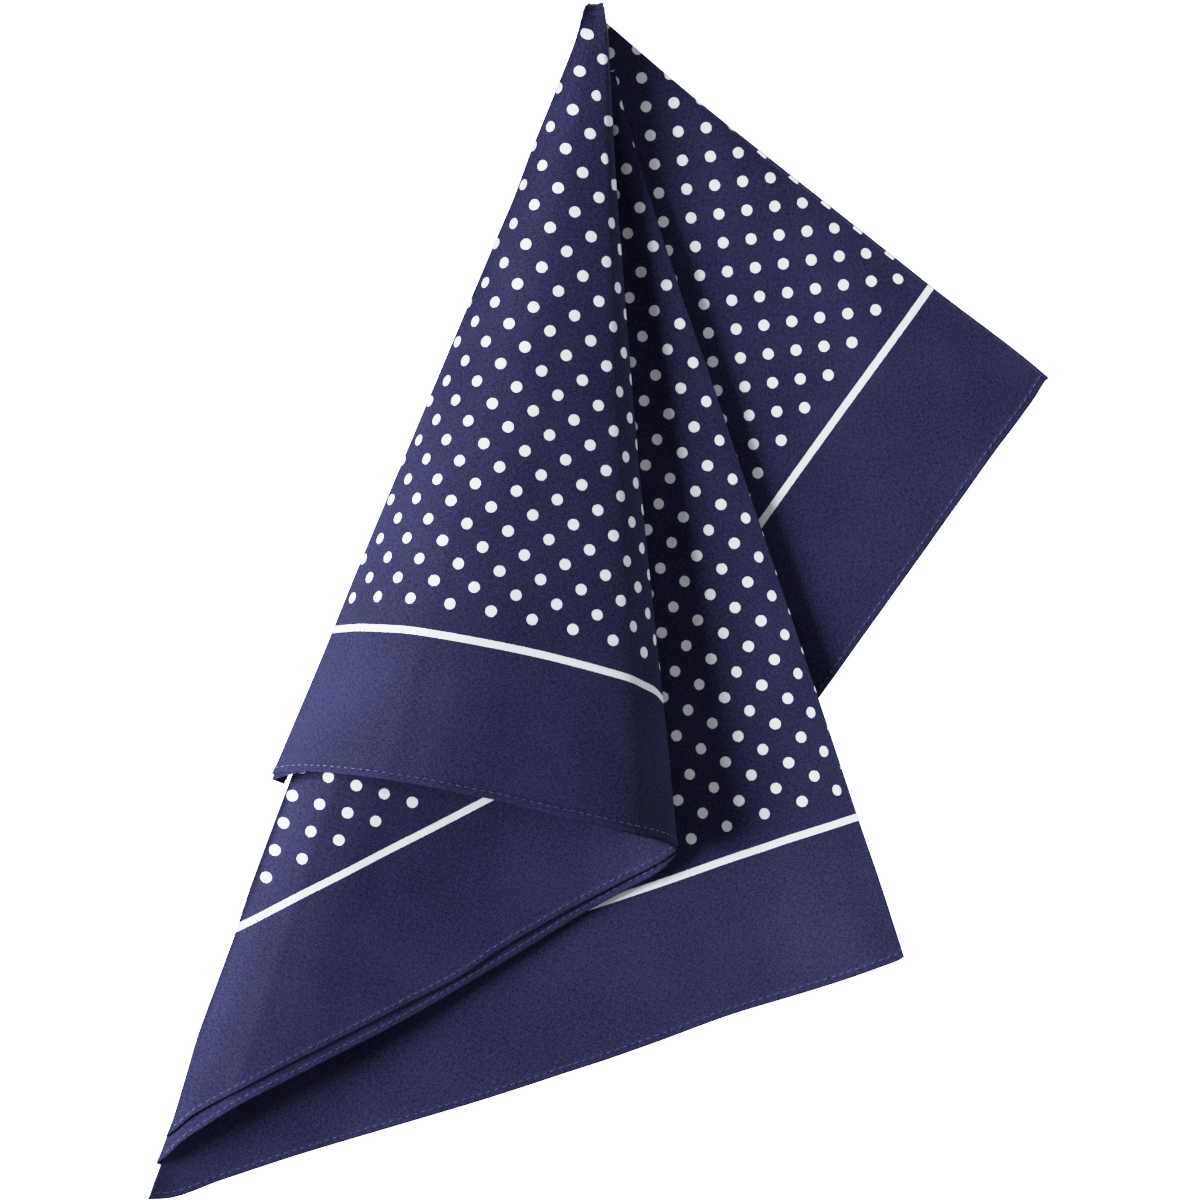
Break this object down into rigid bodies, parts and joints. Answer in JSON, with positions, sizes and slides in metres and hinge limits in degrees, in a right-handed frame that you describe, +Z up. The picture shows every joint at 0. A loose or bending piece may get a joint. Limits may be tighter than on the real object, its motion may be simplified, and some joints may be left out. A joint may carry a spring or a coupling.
{
  "type": "folded bandana",
  "caption": "Square printed cotton bandana folded in half, pinched at one point and laid flat as a fan.",
  "frame": {"origin": "on the surface it rests on, at the centre of its outline", "axes": "+Y up the fan towards the pinched point, +X to the wing side, +Z up from the surface"},
  "size_m": [0.3114, 0.4136, 0.0397],
  "materials": {
    "printed_cotton": "matt"
  },
  "bodies": {
    "root": {"front_panel": "printed_cotton", "front_under_layer": "printed_cotton", "left_panel": "printed_cotton", "left_under_layer": "printed_cotton", "middle_panel": "printed_cotton", "right_wing": "printed_cotton", "hidden_folds": "printed_cotton"}
  },
  "joints": []
}
